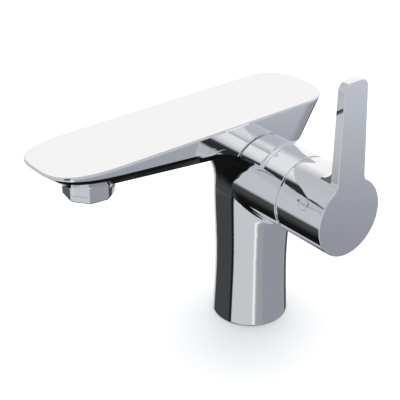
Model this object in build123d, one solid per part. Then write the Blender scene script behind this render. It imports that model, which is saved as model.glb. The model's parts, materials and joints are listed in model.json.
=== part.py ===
from build123d import *
from math import asin, atan, cos, degrees, pi, radians, sin, sqrt
import os

# Single-lever basin mixer.  Millimetres.  +Z is up from the basin deck, the spout points
# along -Y and the lever stands on the +X side.  The origin is the centre of the foot.

# ---- column ----
FOOT_R = 22.3
WAIST_R = 21.05
WAIST_Z = 38.0
NECK_R = 22.4
NECK_Z = 86.0
FLARE_R = 43.0              # the concave arc that widens the neck into the head
FLARE_TOP_Z = 128.5
FOOT_ROUND = 1.0

# ---- spout and head ----
TOP_Z = 138.7               # height of the flat top above the column's axis
TOP_SLOPE = -0.0054         # the top rises slightly towards the nose
HALF_WIDTH = 24.7
NOSE_Y = -139.9
NOSE_REACH = 43.8
NOSE_POWER = 3.2
REAR_Y = 36.5
REAR_REACH = 21.9
REAR_POWER = 2.64
CREASE_Z = 124.4            # where the spout's side turns under, at the column's axis
CREASE_SLOPE = -0.10
CHINE_DROP = 3.5            # a second edge below the crease
CHINE_INSET = 3.0
KEEL_Z = 112.7              # the spout's flat underside, at the column's axis
KEEL_SLOPE = -0.115
KEEL_INSET = 11.3
NOSE_TUCK = 1.5             # how much further the underside draws back at the nose
HEAD_FLOOR_Z = 116.9
HEAD_FRONT_Y = -6.0
REAR_UNDERCUT = 0.645       # how far the rear face moves forward per millimetre of drop
RIM_ROUND = 0.9

# ---- lever side ----
CROTCH_ROUND = 8.0          # between the column and the barrel
COLLAR_ROUND = 2.0          # between the head and the barrel
AXIS_Z = 95.15              # height of the cartridge axis, which runs along X
BARREL_R = 22.0
BARREL_END_X = 42.0
PIVOT_X = 30.0              # the lever tilts about this point on the axis
SEAM_X = 42.9
SEAM_GAP = 0.9
SEAM_ROUND = 0.5
DOME_RIM_R = 21.0
DOME_GAP = 0.35
DOME_WALL = 1.5
DOME_HOLE_R = 13.8
DISC_FACE_X = 75.2
LEVER_LEAN = 0.0222
LEVER_TIP_Z = 171.0
LEVER_ROOT_WIDTH = 21.0
LEVER_TIP_WIDTH = 15.8
LEVER_THICK = 5.1
LEVER_CORNER_R = 4.5
LEVER_NECK_R = 5.0
LEVER_EDGE_ROUND = 0.6
HANDLE_WALL = 3.4
HANDLE_BOSS_X = 57.0        # where the boss round the stem begins
HANDLE_BOSS_R = 8.0
HANDLE_FRONT = 5.2
PLUG_X = 61.0
PLUG_R = 3.0
PLUG_GROOVE_WIDTH = 0.4     # the groove round the plug's head
PLUG_GROOVE_DEPTH = 0.8
SCREW_R = 2.5
SCREW_SPAN = (5.5, 11.5)    # distances of the set screw's ends from the lever's axis
PLUG_ANGLE = 24.8           # degrees above the horizontal, on the spout's side

# ---- cartridge, along the axis from the chamber floor ----
CHAMBER_R = 17.6
NUT_THREAD_R = 19.0         # M38 x 1
NUT_START_X = 31.0
NUT_COLLAR_X = 37.0
NUT_HEX_R = 17.2
NUT_HEX_X = 40.0
NUT_BORE_R = 14.3
PEG_R = 1.5
PEG_Y = 14.0
PEG_LENGTH = 2.6
PORT_SEAL_WIDTH = 1.8
PORT_SEAL_DEPTH = 1.2
DISC_SEAL_WIDTH = 1.5
DISC_SEAL_DEPTH = 1.0
SHELL_BORE_R = 15.3
SHELL_NECK_R = 14.0
SHELL_NECK_BORE_R = 11.9
CHAMBER_FLOOR_X = 6.0
SHELL_R = 17.3
BASE_THICK = 5.0
FIXED_DISC_R = 14.5
FIXED_DISC_THICK = 4.0
MOVING_DISC_R = 10.5
MOVING_DISC_THICK = 3.5
DISC_REST_Z = -1.9          # the moving disc sits off centre while the tap is shut
SLIP_GAP = 0.05
ROTOR_R = 11.6
ROTOR_FLANGE_R = 14.8
CARRIER_R = 11.0
MIXING_POCKET_R = 6.8
KEY_HALF = 9.0              # half width across the carrier's flats
SEAL_FLOOR_R = 10.6
SEAL_SPAN = (31.9, 33.3)
STEM_HALF = 4.2
SQUARE_HALF = 4.0           # the stem's square end and its eye
PIN_R = 1.5
PIN_LENGTH = 20.8
PIN_PLAY = 0.05
BALL_R = 2.5
BALL_SOCKET_R = 2.9
STEM_END_X = 68.0
LIMIT_RING_R = 11.4
LIMIT_TOOTH = 1.2
LIMIT_TEETH = 24
LIMIT_THICK = 1.8
DRIVE_ARM = 8.5             # from the pivot down to the stem's drive ball
PORT_R = 3.2
PORT_CIRCLE_R = 9.0

# ---- aerator ----
AERATOR_Y = -110.0
AERATOR_BOTTOM_Z = 116.3
AERATOR_TOP_Z = 125.4
AERATOR_CORNER_R = 13.3
AERATOR_TURN = 36.0         # degrees, direction that one flat faces
AERATOR_THREAD_R = 11.95
SOCKET_R = 12.0
SOCKET_TOP_Z = 132.4
WINDOW_WIDTH = 7.6
WINDOW_HEIGHT = 4.2
WINDOW_DROP = 1.4           # from the skirt's top to the window
AERATOR_BORE_R = 10.4
INSERT_R = 10.3
INSERT_TOP_Z = 126.0
CELL_PITCH = 2.3
CELL_SIZE = 1.7
CELL_REACH = 3              # cells each way from the middle
SCREEN_LEVELS = (126.2, 127.2)
SCREEN_THICK = 0.4
REGULATOR_SPAN = (127.8, 130.4)
WASHER_FLOOR_Z = 130.8

# ---- foot recess and connections ----
RECESS_R = 16.5
RECESS_DEPTH = 60.0
GASKET_OUTER = 20.6
GASKET_INNER = 18.2
GASKET_DEPTH = 2.0
INLET_THREAD_R = 4.459      # M10 x 1, tapping radius
INLET_THREAD_LENGTH = 12.0
INLET_X = 1.5
STUD_THREAD_R = 3.4         # M8, tapping radius
STUD_THREAD_LENGTH = 16.0
STUD_X = -10.5

# ---- water passages in the casting ----
RISER_R = 3.8
RISER_X = -5.0
PASSAGE_TOP_Z = 134.5
HEAD_PASSAGE_FLOOR_Z = 121.5
HEAD_PASSAGE_HALF = 17.0
SPOUT_PASSAGE_FLOOR_Z = 128.3
SPOUT_PASSAGE_HALF = 11.0
SOCKET_INLET_R = 10.5

DOME_R = sqrt(DOME_RIM_R**2 + (SEAM_X - PIVOT_X) ** 2)
HANDLE_END_X = SEAM_X + SEAM_GAP
BASE_TOP_X = CHAMBER_FLOOR_X + BASE_THICK
FIXED_TOP_X = BASE_TOP_X + FIXED_DISC_THICK
MOVING_FLOOR_X = FIXED_TOP_X + SLIP_GAP
MOVING_TOP_X = MOVING_FLOOR_X + MOVING_DISC_THICK
CARRIER_TOP_X = 23.6
FLANGE_X = 24.0
SHOULDER_X = 27.3
SHELL_TOP_X = 31.0
NECK_TOP_X = 34.0
ROTOR_TOP_X = 35.0


def top_at(y):
    return TOP_Z + TOP_SLOPE * y


def crease_at(y):
    return CREASE_Z + CREASE_SLOPE * y


def chine_at(y):
    return crease_at(y) - CHINE_DROP


def keel_at(y):
    return KEEL_Z + KEEL_SLOPE * y


# ---- helpers ----
def on_axis(shape):
    """Turn a shape built about Z so that it lies about the cartridge axis, Z becoming X."""
    return Pos(0, 0, AXIS_Z) * Rot(0, 90, 0) * shape


def rod(radius, low, high, x=0.0, y=0.0):
    """Upright cylinder from low to high."""
    return Pos(x, y, (low + high) / 2) * Cylinder(radius, high - low)


def tube(outer, inner, low, high, x=0.0, y=0.0):
    return rod(outer, low, high, x, y) - rod(inner, low - 1, high + 1, x, y)


def axis_rod(radius, low, high, y=0.0, lift=0.0):
    """Cylinder along the cartridge axis from x = low to x = high."""
    return on_axis(rod(radius, low, high, -lift, y))


def axis_tube(outer, inner, low, high, y=0.0, lift=0.0):
    return on_axis(tube(outer, inner, low, high, -lift, y))


def block(x0, x1, y0, y1, z0, z1):
    size = (x1 - x0, y1 - y0, z1 - z0)
    return Pos((x0 + x1) / 2, (y0 + y1) / 2, (z0 + z1) / 2) * Box(*size)


def port_places():
    """Centres (y, lift) of the two inlets and the outlet on the cartridge's floor."""
    angles = (90.0, 210.0, 330.0)
    return [(PORT_CIRCLE_R * cos(radians(a)), PORT_CIRCLE_R * sin(radians(a))) for a in angles]


def end_curve(half_width, tip_y, reach, power, z_of_y, side, steps=7):
    """Points round one rounded end of the plan, from +X to -X.  side is -1 at the nose."""
    right = []
    for i in range(steps + 1):
        t = pi / 2 * (1 - i / steps)
        x = half_width * sin(t) ** (2 / power)
        y = tip_y - side * reach * (1 - cos(t) ** (2 / power))
        right.append(Vector(x, y, z_of_y(y)))
    left = [Vector(-p.X, p.Y, p.Z) for p in reversed(right[:-1])]
    return right + left


def nose_wire(inset, z_of_y, back_y, tip_inset=None):
    """Plan of the spout at one level, rounded at the nose and square at back_y."""
    half = HALF_WIDTH - inset
    tip = NOSE_Y + (inset if tip_inset is None else tip_inset)
    reach = NOSE_REACH - inset
    points = end_curve(half, tip, reach, NOSE_POWER, z_of_y, -1)
    slope = z_of_y(1.0) - z_of_y(0.0)
    nose = Spline(*points, tangents=[(0, -1, -slope), (0, 1, slope)])
    right = Vector(half, back_y, z_of_y(back_y))
    left = Vector(-half, back_y, z_of_y(back_y))
    return Wire([nose, Line(points[-1], left), Line(left, right), Line(right, points[0])])


def rear_wire(inset, shift, z_of_y, front_y):
    """Plan of the head at one level, moved forward by shift and square at front_y."""
    half = HALF_WIDTH - inset
    points = end_curve(half, REAR_Y - shift - inset, REAR_REACH - inset, REAR_POWER, z_of_y, 1)
    slope = z_of_y(1.0) - z_of_y(0.0)
    rear = Spline(*points, tangents=[(0, 1, slope), (0, -1, -slope)])
    left = Vector(-half, front_y - shift, z_of_y(front_y - shift))
    right = Vector(half, front_y - shift, z_of_y(front_y - shift))
    return Wire([rear, Line(points[-1], left), Line(left, right), Line(right, points[0])])


# ---- body casting ----
def column():
    waist = Spline((FOOT_R, FOOT_ROUND), (WAIST_R, WAIST_Z), (NECK_R, NECK_Z),
                   tangents=[(-0.045, 1), (0, 1)])
    profile = [
        Line((0, 0), (FOOT_R - FOOT_ROUND, 0)),
        ThreePointArc((FOOT_R - FOOT_ROUND, 0), (FOOT_R - 0.293 * FOOT_ROUND, 0.293 * FOOT_ROUND),
                      (FOOT_R, FOOT_ROUND)),
        waist,
        Line((NECK_R, NECK_Z), (NECK_R, HEAD_FLOOR_Z + 2)),
        Line((NECK_R, HEAD_FLOOR_Z + 2), (0, HEAD_FLOOR_Z + 2)),
        Line((0, HEAD_FLOOR_Z + 2), (0, 0)),
    ]
    face = make_face(Wire(profile))
    return revolve(Plane.XZ * face, Axis.Z)


def flare():
    """Solid of revolution whose concave side carries the neck out to the head's width."""
    rise = FLARE_TOP_Z - NECK_Z
    top_r = NECK_R + FLARE_R - sqrt(FLARE_R**2 - rise**2)
    half = rise / 2
    mid_r = NECK_R + FLARE_R - sqrt(FLARE_R**2 - half**2)
    profile = [
        Line((0, NECK_Z), (NECK_R, NECK_Z)),
        ThreePointArc((NECK_R, NECK_Z), (mid_r, NECK_Z + half), (top_r, FLARE_TOP_Z)),
        Line((top_r, FLARE_TOP_Z), (0, FLARE_TOP_Z)),
        Line((0, FLARE_TOP_Z), (0, NECK_Z)),
    ]
    return revolve(Plane.XZ * make_face(Wire(profile)), Axis.Z)


def rim_steps():
    """Inset and depth at the start, middle and end of the top rim's quarter round."""
    return [(RIM_ROUND * (1 - sin(a)), RIM_ROUND * (1 - cos(a))) for a in (0, pi / 4, pi / 2)]


def stack(wires):
    """Solid made of ruled slices between wires that lie one above the other."""
    slices = [Solid.make_loft([upper, lower], True) for upper, lower in zip(wires, wires[1:])]
    solid = slices[0]
    for piece in slices[1:]:
        solid += piece
    return solid


def slanted_rear(floor_z, front_y):
    """The head's outline swept down along its undercut rear face to floor_z."""
    wires = []
    for inset, depth in rim_steps():
        wires.append(rear_wire(inset, REAR_UNDERCUT * depth, lambda y: top_at(y) - depth, front_y))
    wires.append(rear_wire(0.0, REAR_UNDERCUT * (TOP_Z - floor_z), lambda y: floor_z, front_y))
    return stack(wires)


def spout_hull():
    """Flat top, upright sides to a crease, then two faces that turn under to the keel."""
    wires = [nose_wire(i, lambda y: top_at(y) - d, 0.0) for i, d in rim_steps()]
    wires.append(nose_wire(0.0, crease_at, 0.0))
    wires.append(nose_wire(CHINE_INSET, chine_at, 0.0, CHINE_INSET + NOSE_TUCK))
    wires.append(nose_wire(KEEL_INSET, keel_at, 0.0, KEEL_INSET + NOSE_TUCK))
    return stack(wires)


def head_slab():
    """All the space above the head's floor and behind its slanted front plane."""
    depth = TOP_Z - HEAD_FLOOR_Z
    ceiling = TOP_Z + 5.0
    side = Polygon((HEAD_FRONT_Y, ceiling), (HEAD_FRONT_Y, TOP_Z),
                   (HEAD_FRONT_Y - REAR_UNDERCUT * depth, HEAD_FLOOR_Z),
                   (REAR_Y + 5.0, HEAD_FLOOR_Z), (REAR_Y + 5.0, ceiling), align=None)
    return extrude(Plane.YZ * side, HALF_WIDTH + 5.0, both=True)


def head():
    keep = block(-HALF_WIDTH, HALF_WIDTH, -60, 0, NECK_Z, FLARE_TOP_Z)
    keep += block(-HALF_WIDTH, 0, -1, 40, NECK_Z, FLARE_TOP_Z)
    return slanted_rear(NECK_Z, -90.0) & (head_slab() + (flare() & keep))


def stem():
    """Round column and the horizontal barrel for the cartridge, blended into one another."""
    barrel = axis_rod(BARREL_R, 0, BARREL_END_X)
    barrel = fillet(barrel.faces().sort_by(Axis.X)[-1].edges(), SEAM_ROUND)
    joined = column() + barrel
    crotch = [e for e in joined.edges() if is_crotch(e)]
    return fillet(crotch, CROTCH_ROUND)


def is_crotch(edge):
    """The curves where the barrel leaves the column."""
    middle = edge.center()
    plain = edge.geom_type in (GeomType.CIRCLE, GeomType.LINE)
    return not plain and 2 < middle.X < HALF_WIDTH and WAIST_Z + 1 < middle.Z < HEAD_FLOOR_Z


def casting_outside():
    body = stem() + spout_hull() + head()
    body = fillet([e for e in body.edges() if is_collar(e)], COLLAR_ROUND)
    body += rod(AERATOR_CORNER_R, AERATOR_TOP_Z, AERATOR_TOP_Z + 5.5, 0, AERATOR_Y)
    return body - rod(AERATOR_CORNER_R + 0.2, AERATOR_BOTTOM_Z, AERATOR_TOP_Z, 0, AERATOR_Y)


def is_collar(edge):
    """The edges in the head's flat side where the barrel leaves it."""
    box = edge.bounding_box()
    middle = edge.center()
    in_side = abs(box.min.X - HALF_WIDTH) < 0.02 and abs(box.max.X - HALF_WIDTH) < 0.02
    on_floor = abs(middle.Z - HEAD_FLOOR_Z) < 0.02
    near_barrel = AXIS_Z < middle.Z < AXIS_Z + BARREL_R + 1.0 and abs(middle.Y) < BARREL_R
    return in_side and near_barrel and not on_floor


def chamber():
    """Cartridge chamber, its threaded mouth and the two holes for the locating pegs."""
    cut = axis_rod(CHAMBER_R, CHAMBER_FLOOR_X, BARREL_END_X + 1)
    cut += axis_rod(NUT_THREAD_R + SLIP_GAP, NUT_START_X, BARREL_END_X + 1)
    for side in (-1, 1):
        cut += axis_rod(PEG_R + 0.1, CHAMBER_FLOOR_X - 3, CHAMBER_FLOOR_X + 1, PEG_Y * side)
    return cut


def waterways():
    """Two supplies rise to the cartridge, and the mixed water runs through the head to the nose."""
    (top_y, top_lift), *supplies = port_places()
    cut = axis_rod(PORT_R, -6.0, CHAMBER_FLOOR_X + 1, top_y, top_lift)
    cut += rod(RISER_R, AXIS_Z + top_lift, HEAD_PASSAGE_FLOOR_Z + 5, RISER_X)
    for y, lift in supplies:
        level = AXIS_Z + lift
        cut += axis_rod(PORT_R, INLET_X - 2.0, CHAMBER_FLOOR_X + 1, y, lift)
        cut += rod(PORT_R, RECESS_DEPTH + 1, level + PORT_R, INLET_X, y)
    wide = HEAD_PASSAGE_HALF
    narrow = SPOUT_PASSAGE_HALF
    cut += block(-wide, wide, -38, 16, HEAD_PASSAGE_FLOOR_Z, PASSAGE_TOP_Z)
    cut += block(-narrow, narrow, AERATOR_Y, -30, SPOUT_PASSAGE_FLOOR_Z, PASSAGE_TOP_Z)
    cut += rod(SOCKET_R, AERATOR_BOTTOM_Z, SOCKET_TOP_Z, 0, AERATOR_Y)
    return cut + rod(SOCKET_INLET_R, SOCKET_TOP_Z - 1, PASSAGE_TOP_Z + 0.5, 0, AERATOR_Y)


def foot_recess():
    """Hollow foot that clears the hoses, with the inlet and stud threads in its ceiling."""
    cut = rod(RECESS_R, -1, RECESS_DEPTH)
    for y, _ in port_places()[1:]:
        cut += rod(INLET_THREAD_R, RECESS_DEPTH - 1, RECESS_DEPTH + INLET_THREAD_LENGTH, INLET_X, y)
    cut += rod(STUD_THREAD_R, RECESS_DEPTH - 1, RECESS_DEPTH + STUD_THREAD_LENGTH, STUD_X, 0)
    cut += tube(GASKET_OUTER, GASKET_INNER, -1, GASKET_DEPTH)
    return cut


def body_casting():
    body = casting_outside()
    body = body - chamber() - waterways() - foot_recess()
    return body


def base_gasket():
    return tube(GASKET_OUTER, GASKET_INNER, 0, GASKET_DEPTH)


# ---- cartridge, fixed pieces ----
def ports(low, high, radius):
    return sum((axis_rod(radius, low, high, y, lift) for y, lift in port_places()), Part())


def cartridge_base():
    base = axis_rod(SHELL_R, CHAMBER_FLOOR_X, BASE_TOP_X)
    for side in (-1, 1):
        base += axis_rod(PEG_R, CHAMBER_FLOOR_X - PEG_LENGTH, CHAMBER_FLOOR_X + 1, PEG_Y * side)
    base -= ports(CHAMBER_FLOOR_X - 1, BASE_TOP_X + 1, PORT_R)
    base -= ports(CHAMBER_FLOOR_X - 1, CHAMBER_FLOOR_X + PORT_SEAL_DEPTH, PORT_R + PORT_SEAL_WIDTH)
    return base - ports(BASE_TOP_X - DISC_SEAL_DEPTH, BASE_TOP_X + 1, PORT_R + DISC_SEAL_WIDTH)


def seal_rings(low, high, outer):
    rings = [axis_tube(outer, PORT_R, low, high, y, lift) for y, lift in port_places()]
    return Compound(children=[r.solid() for r in rings])


def port_seals():
    high = CHAMBER_FLOOR_X + PORT_SEAL_DEPTH
    return seal_rings(CHAMBER_FLOOR_X, high, PORT_R + PORT_SEAL_WIDTH)


def disc_seals():
    return seal_rings(BASE_TOP_X - DISC_SEAL_DEPTH, BASE_TOP_X, PORT_R + DISC_SEAL_WIDTH)


def fixed_ceramic_disc():
    disc = axis_rod(FIXED_DISC_R, BASE_TOP_X, FIXED_TOP_X)
    return disc - ports(BASE_TOP_X - 1, FIXED_TOP_X + 1, PORT_R - 0.4)


def cartridge_shell():
    """Cup over the discs, with a shoulder that holds the rotor down and a neck round it."""
    shell = axis_rod(SHELL_R, BASE_TOP_X, SHELL_TOP_X)
    shell += axis_rod(SHELL_NECK_R, SHELL_TOP_X - 1, NECK_TOP_X)
    shell -= axis_rod(SHELL_BORE_R, BASE_TOP_X - 1, SHOULDER_X)
    shell -= axis_rod(SHELL_NECK_BORE_R, SHOULDER_X - 1, NECK_TOP_X + 1)
    return shell


def cartridge_nut():
    nut = axis_rod(NUT_THREAD_R, SHELL_TOP_X, NUT_COLLAR_X)
    hexagon = extrude(RegularPolygon(NUT_HEX_R, 6), NUT_HEX_X - NUT_COLLAR_X)
    nut += on_axis(Pos(0, 0, NUT_COLLAR_X) * hexagon)
    return nut - axis_rod(NUT_BORE_R, SHELL_TOP_X - 1, NUT_HEX_X + 1)


def dome_cover():
    """Bright cover under the handle: part of a ball about the lever's pivot, with a rim."""
    inner = DOME_R - DOME_WALL
    collar_r = NUT_THREAD_R
    bore_r = NUT_THREAD_R - 1.6
    foot_x = NUT_COLLAR_X + 0.5
    hole_x = PIVOT_X + sqrt(DOME_R**2 - DOME_HOLE_R**2)
    inner_hole_x = PIVOT_X + sqrt(inner**2 - DOME_HOLE_R**2)
    inner_bore_x = PIVOT_X + sqrt(inner**2 - bore_r**2)
    mid_angle = (asin(DOME_HOLE_R / DOME_R) + asin(DOME_RIM_R / DOME_R)) / 2
    mid_inner = (asin(DOME_HOLE_R / inner) + asin(bore_r / inner)) / 2
    profile = [
        Line((bore_r, foot_x), (collar_r, foot_x)),
        Line((collar_r, foot_x), (collar_r, BARREL_END_X)),
        Line((collar_r, BARREL_END_X), (DOME_RIM_R, BARREL_END_X)),
        Line((DOME_RIM_R, BARREL_END_X), (DOME_RIM_R, SEAM_X)),
        ThreePointArc((DOME_RIM_R, SEAM_X),
                      (DOME_R * sin(mid_angle), PIVOT_X + DOME_R * cos(mid_angle)),
                      (DOME_HOLE_R, hole_x)),
        Line((DOME_HOLE_R, hole_x), (DOME_HOLE_R, inner_hole_x)),
        ThreePointArc((DOME_HOLE_R, inner_hole_x),
                      (inner * sin(mid_inner), PIVOT_X + inner * cos(mid_inner)),
                      (bore_r, inner_bore_x)),
        Line((bore_r, inner_bore_x), (bore_r, foot_x)),
    ]
    return on_axis(revolve(Plane.XZ * make_face(Wire(profile)), Axis.Z))


# ---- cartridge, turning pieces ----
def cartridge_rotor():
    rotor = axis_rod(ROTOR_R, FLANGE_X, ROTOR_TOP_X)
    rotor += axis_rod(ROTOR_FLANGE_R, FLANGE_X, SHOULDER_X - 0.3)
    for side in (-1, 1):
        leg = block(MOVING_TOP_X + 0.6, FLANGE_X + 1, KEY_HALF + 0.3, 14.0, -5.0, 5.0)
        rotor += Pos(0, 0, AXIS_Z) * (leg if side > 0 else Rot(180, 0, 0) * leg)
    gap = SQUARE_HALF + 0.5
    slot_low = block(FLANGE_X - 1, PIVOT_X - 1.5, -gap, gap, -6.0, 8.0)
    slot_high = block(PIVOT_X - 3.0, ROTOR_TOP_X + 5, -gap, gap, -9.2, 6.0)
    rotor -= Pos(0, 0, AXIS_Z) * (slot_low + slot_high)
    rotor -= Pos(PIVOT_X, 0, AXIS_Z) * Rot(90, 0, 0) * Cylinder(PIN_R, 40)
    rotor -= axis_tube(ROTOR_R + 1, SEAL_FLOOR_R, *SEAL_SPAN)
    return rotor


def rotor_seal():
    return axis_tube(ROTOR_R, SEAL_FLOOR_R, *SEAL_SPAN)


def pivot_pin():
    return Pos(PIVOT_X, 0, AXIS_Z) * Rot(90, 0, 0) * Cylinder(PIN_R, PIN_LENGTH)


def hot_limit_ring():
    """Toothed collar on the rotor that stops the lever short of the hottest water."""
    ring = axis_tube(LIMIT_RING_R, LIMIT_RING_R - 1.4, ROTOR_TOP_X, ROTOR_TOP_X + LIMIT_THICK)
    middle = ROTOR_TOP_X + LIMIT_THICK / 2
    for i in range(LIMIT_TEETH):
        tooth = Pos(LIMIT_RING_R, 0, middle) * Box(LIMIT_TOOTH, LIMIT_TOOTH, LIMIT_THICK)
        ring += on_axis(Rot(0, 0, 360 / LIMIT_TEETH * i) * tooth)
    tab = Pos(LIMIT_RING_R + 1.0, 0, middle) * Box(2.4, 4.0, LIMIT_THICK)
    return ring + on_axis(Rot(0, 0, 90) * tab)


# ---- cartridge, sliding pieces ----
def moving_ceramic_disc():
    disc = axis_rod(MOVING_DISC_R, MOVING_FLOOR_X, MOVING_TOP_X, 0.0, DISC_REST_Z)
    pocket = axis_rod(MIXING_POCKET_R, MOVING_FLOOR_X - 1, MOVING_FLOOR_X + 1.6, 0.0, DISC_REST_Z + 1.0)
    return disc - pocket


def disc_carrier():
    """Drives the moving disc, keyed between the rotor's legs and pushed by the stem's ball."""
    carrier = axis_rod(CARRIER_R, MOVING_TOP_X, CARRIER_TOP_X, 0.0, DISC_REST_Z)
    carrier &= Pos(0, 0, AXIS_Z) * block(0, 40, -KEY_HALF, KEY_HALF, -20, 20)
    return carrier - axis_rod(BALL_SOCKET_R, MOVING_TOP_X - 1, CARRIER_TOP_X + 1)


# ---- lever pieces ----
def lever_stem():
    """Square spindle outside the cartridge, a flat eye on the pin and a drive ball inside."""
    half = SQUARE_HALF
    eye = block(PIVOT_X - 3.0, PIVOT_X + 6.0, -half, half, -STEM_HALF, STEM_HALF)
    square = block(HANDLE_BOSS_X - 1, STEM_END_X, -half, half, -half, half)
    stem = Pos(0, 0, AXIS_Z) * (eye + square)
    stem += axis_rod(STEM_HALF, PIVOT_X + 5.0, HANDLE_BOSS_X)
    stem += axis_rod(BALL_R - 0.7, PIVOT_X - DRIVE_ARM, PIVOT_X - 2.0)
    stem += Pos(PIVOT_X - DRIVE_ARM, 0, AXIS_Z) * Sphere(BALL_R)
    return stem - Pos(PIVOT_X, 0, AXIS_Z) * Rot(90, 0, 0) * Cylinder(PIN_R + PIN_PLAY, 20)


def lever_front():
    """Half space behind the flat front that the disc and the blade share."""
    plate = block(-200, 0, -60, 60, -150, 150)
    return Pos(DISC_FACE_X, 0, AXIS_Z) * Rot(0, -degrees(atan(LEVER_LEAN)), 0) * plate


def lever_blade():
    """Blade drawn in the front plane, tapering up from the disc with a rounded neck."""
    rise = LEVER_TIP_Z - AXIS_Z
    tip = LEVER_TIP_WIDTH / 2
    root = LEVER_ROOT_WIDTH / 2
    outline = Polygon((-root, 0), (root, 0), (tip, rise), (-tip, rise), align=None)
    outline = fillet(outline.vertices().group_by(Axis.Y)[-1], LEVER_CORNER_R)
    outline += Circle(BARREL_R - 0.1)
    neck = [v for v in outline.vertices() if BARREL_R / 2 < v.Y < BARREL_R]
    outline = fillet(neck, LEVER_NECK_R)
    outline -= Pos(0, -BARREL_R) * Rectangle(3 * BARREL_R, 2.5 * BARREL_R)
    front = Plane(origin=(DISC_FACE_X, 0, AXIS_Z), x_dir=(0, 1, 0), z_dir=(1, 0, LEVER_LEAN))
    return extrude(front * outline, -LEVER_THICK)


def root_web():
    """Concave web between the back of the blade and the top of the handle's barrel."""
    back = DISC_FACE_X - LEVER_THICK
    low = BARREL_R - 4.0
    reach = 8.5
    web = Polygon((back - reach, low), (back + 1, low), (back + 1, BARREL_R + reach),
                  (back, BARREL_R + reach), (back - reach, BARREL_R - 1.0), align=None)
    web -= Pos(back - reach, BARREL_R + reach) * Circle(reach)
    web = Plane.XZ * web
    half = LEVER_ROOT_WIDTH / 2 - 1.3
    return Pos(0, half, AXIS_Z) * extrude(web, 2 * half)


def handle_shell():
    """Barrel, disc and blade in one casting, hollow over the dome, with a boss for the stem."""
    ball = on_axis(Pos(0, 0, PIVOT_X) * Sphere(DOME_R + DOME_GAP))
    inner_r = BARREL_R - HANDLE_WALL
    shell = axis_rod(BARREL_R, HANDLE_END_X, DISC_FACE_X + 3)
    shell += lever_blade() + root_web()
    shell = shell & lever_front()
    front = shell.faces().filter_by(GeomType.PLANE).sort_by(Axis.X)[-1]
    shell = fillet(front.outer_wire().edges(), LEVER_EDGE_ROUND)
    cavity = axis_rod(inner_r, HANDLE_END_X + 0.5, DISC_FACE_X - HANDLE_FRONT)
    cavity -= axis_rod(HANDLE_BOSS_R, HANDLE_BOSS_X, DISC_FACE_X)
    shell -= ball
    shell -= cavity
    half = SQUARE_HALF
    socket = block(HANDLE_BOSS_X - 10, STEM_END_X + 0.2, -half, half, -half, half)
    shell -= Pos(0, 0, AXIS_Z) * socket
    shell -= screw_line(PLUG_R, inner_r - 1, BARREL_R + 2)
    shell -= screw_line(PLUG_R + PLUG_GROOVE_WIDTH, BARREL_R - PLUG_GROOVE_DEPTH, BARREL_R + 2)
    return shell - screw_line(SCREW_R, PLUG_R, inner_r)


def screw_line(radius, near, far):
    """Cylinder along the set screw's line, from near to far out from the lever's axis."""
    rod_out = rod(radius, near, far)
    return Pos(PLUG_X, 0, AXIS_Z) * Rot(90 - PLUG_ANGLE, 0, 0) * rod_out


def set_screw():
    """Socket set screw that clamps the handle on the stem's flat."""
    screw = screw_line(SCREW_R, *SCREW_SPAN)
    socket = Pos(0, 0, SCREW_SPAN[1] - 2.5) * extrude(RegularPolygon(1.4, 6), 3.0)
    return screw - Pos(PLUG_X, 0, AXIS_Z) * Rot(90 - PLUG_ANGLE, 0, 0) * socket


def screw_plug():
    plug = screw_line(PLUG_R, BARREL_R - 2.8, BARREL_R + 2)
    return plug & axis_rod(BARREL_R + 0.25, PLUG_X - 5, PLUG_X + 5)


# ---- aerator ----
def aerator_housing():
    """Eight-sided skirt with a slot in every other flat, under a threaded collar."""
    skirt = extrude(RegularPolygon(AERATOR_CORNER_R, 8), AERATOR_TOP_Z - AERATOR_BOTTOM_Z)
    skirt = chamfer(skirt.faces().sort_by(Axis.Z)[0].edges(), 0.8)
    flat = AERATOR_CORNER_R * cos(pi / 8)
    skirt = Rot(0, 0, 22.5) * skirt
    window_z = AERATOR_TOP_Z - AERATOR_BOTTOM_Z - WINDOW_HEIGHT / 2 - WINDOW_DROP
    for i in range(4):
        slot = Pos(flat, 0, window_z) * Box(1.4, WINDOW_WIDTH, WINDOW_HEIGHT)
        skirt -= Rot(0, 0, 90 * i) * slot
    housing = Pos(0, AERATOR_Y, AERATOR_BOTTOM_Z) * Rot(0, 0, AERATOR_TURN) * skirt
    housing += rod(AERATOR_THREAD_R, AERATOR_TOP_Z - 0.5, WASHER_FLOOR_Z, 0, AERATOR_Y)
    housing -= rod(AERATOR_BORE_R, AERATOR_BOTTOM_Z - 1, WASHER_FLOOR_Z + 1, 0, AERATOR_Y)
    lip_z = AERATOR_BOTTOM_Z + 0.6
    return housing + tube(AERATOR_BORE_R + 0.4, INSERT_R - 1, lip_z, lip_z + 1, 0, AERATOR_Y)


def aerator_insert():
    """Moulded jet former: a ring filled with a honeycomb of small square cells."""
    low = AERATOR_BOTTOM_Z + 1.6
    insert = rod(INSERT_R, low, INSERT_TOP_Z, 0, AERATOR_Y)
    steps = range(-CELL_REACH, CELL_REACH + 1)
    for row in steps:
        for col in steps:
            if row * row + col * col <= CELL_REACH**2 + 2:
                place = Pos(col * CELL_PITCH, AERATOR_Y + row * CELL_PITCH, low)
                insert -= place * Box(CELL_SIZE, CELL_SIZE, 40)
    return insert


def aerator_screens():
    rings = [tube(INSERT_R, 0.9, z, z + SCREEN_THICK, 0, AERATOR_Y) for z in SCREEN_LEVELS]
    return Compound(children=[ring.solid() for ring in rings])


def flow_regulator():
    disc = rod(INSERT_R, *REGULATOR_SPAN, 0, AERATOR_Y)
    for i in range(6):
        hole = Pos(6.2, 0, REGULATOR_SPAN[0]) * Cylinder(1.3, 8)
        disc -= Pos(0, AERATOR_Y, 0) * Rot(0, 0, 60 * i) * hole
    return disc


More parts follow.
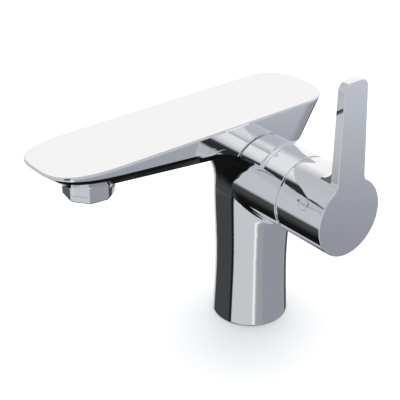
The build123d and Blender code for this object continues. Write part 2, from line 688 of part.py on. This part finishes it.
def aerator_washer():
    return tube(SOCKET_R - 0.2, INSERT_R - 1.7, WASHER_FLOOR_Z, SOCKET_TOP_Z, 0, AERATOR_Y)


NODES = {
    "body_casting": body_casting,
    "base_gasket": base_gasket,
    "cartridge_base": cartridge_base,
    "port_seals": port_seals,
    "disc_seals": disc_seals,
    "fixed_ceramic_disc": fixed_ceramic_disc,
    "cartridge_shell": cartridge_shell,
    "cartridge_nut": cartridge_nut,
    "dome_cover": dome_cover,
    "cartridge_rotor": cartridge_rotor,
    "rotor_seal": rotor_seal,
    "pivot_pin": pivot_pin,
    "hot_limit_ring": hot_limit_ring,
    "moving_ceramic_disc": moving_ceramic_disc,
    "disc_carrier": disc_carrier,
    "lever_stem": lever_stem,
    "handle_shell": handle_shell,
    "set_screw": set_screw,
    "screw_plug": screw_plug,
    "aerator_housing": aerator_housing,
    "aerator_insert": aerator_insert,
    "aerator_screens": aerator_screens,
    "flow_regulator": flow_regulator,
    "aerator_washer": aerator_washer,
}


def main():
    os.makedirs("parts", exist_ok=True)
    for name, build in NODES.items():
        export_step(build(), f"parts/{name}.step")


main()
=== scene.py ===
import json
import math

import bpy
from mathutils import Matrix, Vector


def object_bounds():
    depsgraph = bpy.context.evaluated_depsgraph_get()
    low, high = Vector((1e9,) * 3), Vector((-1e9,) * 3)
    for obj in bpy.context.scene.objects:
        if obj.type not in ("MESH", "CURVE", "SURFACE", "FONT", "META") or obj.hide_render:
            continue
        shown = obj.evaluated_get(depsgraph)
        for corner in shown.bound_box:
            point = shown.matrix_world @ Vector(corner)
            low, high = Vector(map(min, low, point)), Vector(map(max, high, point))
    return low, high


# Single-lever basin mixer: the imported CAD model, its finishes and a small studio.  Metres.

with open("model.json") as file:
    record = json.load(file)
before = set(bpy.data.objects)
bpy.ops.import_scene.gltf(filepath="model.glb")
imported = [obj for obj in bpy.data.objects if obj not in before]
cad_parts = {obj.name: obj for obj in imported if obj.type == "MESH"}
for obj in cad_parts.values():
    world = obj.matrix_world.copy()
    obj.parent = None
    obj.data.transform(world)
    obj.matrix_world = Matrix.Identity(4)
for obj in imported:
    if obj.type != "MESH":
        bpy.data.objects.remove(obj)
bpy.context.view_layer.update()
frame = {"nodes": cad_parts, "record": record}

# ---- view ----
AZIMUTH = 50.99             # degrees, 0 looks along +Y and 90 looks along -X
ELEVATION = 29.2
DISTANCE = 0.64346
FOCAL_MM = 94.8
SENSOR_MM = 36.0
CLIP_RANGE = (0.01, 50.0)
AIM = Vector((-0.0432, -0.0038, 0.0558))

# ---- floor and overhead light ----
FLOOR_HALF = 15.0
FLOOR_DROP = 0.0002
FLOOR_COLOUR = (0.86, 0.86, 0.86)
FLOOR_ROUGHNESS = 0.95
BLACK = (0.0, 0.0, 0.0)
KEY_WATTS = 40.0
KEY_SIZE = 2.4
KEY_HEIGHT = 1.6

# ---- chrome ----
CHROME_COLOUR = (0.86, 0.865, 0.885, 1)
HAZE_SCALE = 35.0           # broad patches of handling haze
HAZE_ROUGHNESS = (0.022, 0.055)
SMUDGE_SCALE = 210.0        # small marks that add to the haze
SMUDGE_ROUGHNESS = (0.0, 0.018)
RIPPLE_SCALE = 60.0         # unevenness left by polishing
RIPPLE_STRENGTH = 0.05
RIPPLE_HEIGHT = 0.00002

# ---- moulded and machined finishes ----
GRAIN_SCALE = 400.0
GRAIN_STRENGTH = 0.4
GRAIN_HEIGHT = 0.00004
BLOTCH_SHARE = 0.3          # blotches of colour, next to the grain's scale
FINE_SHARE = 4.0            # bumps, next to the grain's scale
DARKER = 0.88
LIGHTER = 1.06
SMOOTHER = 0.8
ROUGHER = 1.25
# slot: colour, roughness, metallic
FINISHES = {
    "raw_brass": ((0.66, 0.50, 0.24), 0.28, 1.0),
    "stainless": ((0.62, 0.62, 0.63), 0.25, 1.0),
    "seal_rubber": ((0.025, 0.025, 0.027), 0.62, 0.0),
    "white_plastic": ((0.80, 0.81, 0.79), 0.42, 0.0),
    "grey_plastic": ((0.24, 0.26, 0.28), 0.45, 0.0),
    "red_plastic": ((0.50, 0.04, 0.035), 0.35, 0.0),
    "ceramic": ((0.83, 0.81, 0.76), 0.18, 0.0),
}

# ---- studio ----
# Softboxes and flags round the object, painted over each other in this order.  Each has a bearing
# (degrees from +Y towards +X), an elevation, half its width and height, its edge's softness
# across and up, its tint and its level.
WHITE = (1.0, 1.0, 0.99)
WARM = (1.0, 0.99, 0.97)
LAVENDER = (0.86, 0.90, 1.0)
GREY = (0.94, 0.97, 1.0)
PANELS = (
    ("roof", 0, 90, 180, 45, 1, 12, GREY, 0.58),
    ("roof_glow", 90, 56, 42, 16, 20, 8, WHITE, 1.0),
    ("rear_softbox", -50, 14, 32, 34, 12, 8, WARM, 1.04),
    ("low_right", 60, -10, 62, 14, 12, 8, LAVENDER, 0.70),
    ("lower_right", 52, -46, 58, 21, 10, 6, LAVENDER, 0.36),
    ("front_white", 152, -28, 36, 30, 4, 8, GREY, 0.66),
    ("front_line", 119, -26, 3, 26, 3, 8, WHITE, 1.0),
    ("front_grey", 102, -32, 9, 20, 4, 6, GREY, 0.38),
    ("left_dark", -128, -60, 43, 34, 2, 4, GREY, 0.062),
    ("left_edge", -167, -40, 4, 12, 2, 2, GREY, 0.012),
    ("left_black", -110, -72, 58, 30, 8, 8, GREY, 0.006),
    ("under_black", -60, -64, 52, 26, 10, 6, GREY, 0.008),
    ("rear_low_white", -62, -27, 12, 9, 6, 5, WHITE, 0.85),
    ("rear_low_dark", -24, -36, 18, 12, 5, 4, LAVENDER, 0.09),
    ("camera_side", 132, 28, 9, 10, 3, 3, GREY, 0.03),
)
BASE_LIGHT = (0.58, 0.60, 0.63, 1)
HALF_TURN = 180.0
MIX_FIRST = 6               # the Mix node's colour sockets
MIX_SECOND = 7
MIX_RESULT = 2


# ---- camera ----
def add_camera():
    """Long lens above the lever side, with the spout running away to the left."""
    az = math.radians(AZIMUTH)
    el = math.radians(ELEVATION)
    back = Vector((math.sin(az) * math.cos(el), -math.cos(az) * math.cos(el), math.sin(el)))
    data = bpy.data.cameras.new("view_camera")
    data.lens = FOCAL_MM
    data.sensor_width = SENSOR_MM
    data.clip_start, data.clip_end = CLIP_RANGE
    camera = bpy.data.objects.new("view_camera", data)
    camera.location = AIM + DISTANCE * back
    camera.rotation_euler = back.to_track_quat("Z", "Y").to_euler()
    bpy.context.scene.collection.objects.link(camera)
    bpy.context.scene.camera = camera


def set_view():
    bpy.context.scene.view_settings.view_transform = "Standard"


# ---- node helpers ----
class Web:
    """Adds nodes to one tree and fills their inputs."""

    def __init__(self, tree):
        self.tree = tree

    def add(self, kind, **properties):
        node = self.tree.nodes.new(kind)
        for key, value in properties.items():
            setattr(node, key, value)
        return node

    def feed(self, socket, value):
        """Join an output to this input, or set the input to a plain value."""
        if isinstance(value, bpy.types.NodeSocket):
            self.tree.links.new(value, socket)
        else:
            socket.default_value = value

    def maths(self, operation, *values):
        node = self.add("ShaderNodeMath", operation=operation)
        for socket, value in zip(node.inputs, values):
            self.feed(socket, value)
        return node.outputs[0]


def new_material(name):
    """Empty node material and its Principled shader."""
    material = bpy.data.materials.new(name)
    material.use_nodes = True
    shader = material.node_tree.nodes["Principled BSDF"]
    return material, shader


def object_coords(web):
    return web.add("ShaderNodeTexCoord").outputs["Object"]


def noise(web, coords, scale, detail):
    node = web.add("ShaderNodeTexNoise")
    web.feed(node.inputs["Vector"], coords)
    web.feed(node.inputs["Scale"], scale)
    web.feed(node.inputs["Detail"], detail)
    return node.outputs["Fac"]


def remap(web, value, source, target, shape="LINEAR"):
    """Carry a value from the source range to the target range, held at its ends."""
    node = web.add("ShaderNodeMapRange", interpolation_type=shape)
    sockets = ("From Min", "From Max", "To Min", "To Max")
    for name, number in zip(sockets, (*source, *target)):
        web.feed(node.inputs[name], number)
    web.feed(node.inputs["Value"], value)
    return node.outputs["Result"]


def emboss(web, shader, height, strength, distance):
    """Bump the shader's surface by a height texture."""
    bump = web.add("ShaderNodeBump")
    web.feed(bump.inputs["Strength"], strength)
    web.feed(bump.inputs["Distance"], distance)
    web.feed(bump.inputs["Height"], height)
    web.feed(shader.inputs["Normal"], bump.outputs["Normal"])


# ---- finishes ----
def polished_chrome():
    """Mirror plate with a trace of handling haze and the faint ripple of polished brass."""
    material, shader = new_material("polished_chrome")
    web = Web(material.node_tree)
    coords = object_coords(web)
    haze = remap(web, noise(web, coords, HAZE_SCALE, 5.0), (0.35, 0.75), HAZE_ROUGHNESS)
    smudge = remap(web, noise(web, coords, SMUDGE_SCALE, 2.0), (0.4, 0.8), SMUDGE_ROUGHNESS)
    web.feed(shader.inputs["Roughness"], web.maths("ADD", haze, smudge))
    ripple = noise(web, coords, RIPPLE_SCALE, 1.0)
    emboss(web, shader, ripple, RIPPLE_STRENGTH, RIPPLE_HEIGHT)
    shader.inputs["Base Color"].default_value = CHROME_COLOUR
    shader.inputs["Metallic"].default_value = 1.0
    return material


def blotches(web, coords, colour):
    """The colour, a little darker and lighter in patches."""
    ramp = web.add("ShaderNodeValToRGB")
    dark, light = ramp.color_ramp.elements
    dark.position = 0.3
    dark.color = (*[c * DARKER for c in colour], 1)
    light.position = 0.75
    light.color = (*[min(1.0, c * LIGHTER) for c in colour], 1)
    web.feed(ramp.inputs["Fac"], noise(web, coords, GRAIN_SCALE * BLOTCH_SHARE, 3.0))
    return ramp.outputs["Color"]


def grained(name, colour, roughness, metallic):
    """Moulded or machined finish: colour and roughness vary a little, over a fine grain."""
    material, shader = new_material(name)
    web = Web(material.node_tree)
    coords = object_coords(web)
    spots = noise(web, coords, GRAIN_SCALE, 4.0)
    limits = (roughness * SMOOTHER, roughness * ROUGHER)
    web.feed(shader.inputs["Roughness"], remap(web, spots, (0.3, 0.7), limits))
    web.feed(shader.inputs["Base Color"], blotches(web, coords, colour))
    bumps = noise(web, coords, GRAIN_SCALE * FINE_SHARE, 2.0)
    emboss(web, shader, bumps, GRAIN_STRENGTH, GRAIN_HEIGHT)
    shader.inputs["Metallic"].default_value = metallic
    return material


def dress_frame():
    """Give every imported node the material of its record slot."""
    materials = {slot: grained(slot, *values) for slot, values in FINISHES.items()}
    materials["polished_chrome"] = polished_chrome()
    for row in frame["record"]["subparts"]:
        node = frame["nodes"][row["node"]]
        node.data.materials.clear()
        node.data.materials.append(materials[row["material_slot"]])


# ---- surroundings ----
def window(web, offset, half, soft):
    """One while the offset is within half either way, zero outside, with soft edges."""
    size = web.maths("ABSOLUTE", offset)
    return remap(web, size, (half + soft, half - soft), (0.0, 1.0), "SMOOTHSTEP")


def studio_world():
    """Surroundings that the chrome reflects: white softboxes, grey cards and black flags."""
    world = bpy.data.worlds.new("studio")
    world.use_nodes = True
    web = Web(world.node_tree)
    split = web.add("ShaderNodeSeparateXYZ")
    web.feed(split.inputs[0], web.add("ShaderNodeTexCoord").outputs["Generated"])
    x, y, z = split.outputs
    bearing = web.maths("DEGREES", web.maths("ARCTAN2", x, y))
    height = web.maths("DEGREES", web.maths("ARCSINE", z))
    light = BASE_LIGHT
    for name, azimuth, elevation, half_w, half_h, soft_w, soft_h, tint, level in PANELS:
        turn = web.maths("WRAP", web.maths("SUBTRACT", bearing, azimuth), HALF_TURN, -HALF_TURN)
        rise = web.maths("SUBTRACT", height, elevation)
        across = window(web, turn, half_w, soft_w)
        up = window(web, rise, half_h, soft_h)
        layer = web.add("ShaderNodeMix", data_type="RGBA", label=name)
        web.feed(layer.inputs["Factor"], web.maths("MULTIPLY", across, up))
        web.feed(layer.inputs[MIX_FIRST], light)
        web.feed(layer.inputs[MIX_SECOND], (*[level * t for t in tint], 1))
        light = layer.outputs[MIX_RESULT]
    background = world.node_tree.nodes["Background"]
    web.feed(background.inputs["Color"], light)
    bpy.context.scene.world = world


def staged_mesh(name, verts, faces, colour, glow):
    """Matt surface that isn't part of the object and that the chrome doesn't reflect."""
    mesh = bpy.data.meshes.new(name)
    mesh.from_pydata(verts, [], faces)
    obj = bpy.data.objects.new(name, mesh)
    material, shader = new_material(name)
    shader.inputs["Base Color"].default_value = (*colour, 1)
    shader.inputs["Roughness"].default_value = FLOOR_ROUGHNESS
    shader.inputs["Specular IOR Level"].default_value = 0.0
    shader.inputs["Emission Color"].default_value = (1, 1, 1, 1)
    shader.inputs["Emission Strength"].default_value = glow
    mesh.materials.append(material)
    bpy.context.scene.collection.objects.link(obj)
    obj.visible_glossy = False
    return obj


def add_floor():
    """Plain pale floor, inside white walls and a white ceiling a long way off."""
    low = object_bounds()[0][2] - FLOOR_DROP
    side = [(sx * FLOOR_HALF, sy * FLOOR_HALF) for sx, sy in ((-1, -1), (1, -1), (1, 1), (-1, 1))]
    staged_mesh("floor", [(x, y, low) for x, y in side], [(0, 1, 2, 3)], FLOOR_COLOUR, 0.0)
    corners = [(x, y, z) for z in (low, FLOOR_HALF) for x, y in side]
    walls = [(i, (i + 1) % 4, (i + 1) % 4 + 4, i + 4) for i in range(4)]
    ceiling = (4, 5, 6, 7)
    backdrop = staged_mesh("backdrop", corners, [*walls, ceiling], BLACK, 1.0)
    backdrop.visible_diffuse = False
    backdrop.visible_shadow = False


def add_key_light():
    """Broad soft light overhead that lights the floor and the plastics, not the mirror finish."""
    data = bpy.data.lights.new("overhead", "AREA")
    data.shape = "SQUARE"
    data.size = KEY_SIZE
    data.energy = KEY_WATTS
    lamp = bpy.data.objects.new("overhead", data)
    lamp.location = (0.0, 0.0, KEY_HEIGHT)
    lamp.visible_glossy = False
    bpy.context.scene.collection.objects.link(lamp)


add_camera()
set_view()
dress_frame()
add_floor()
studio_world()
add_key_light()
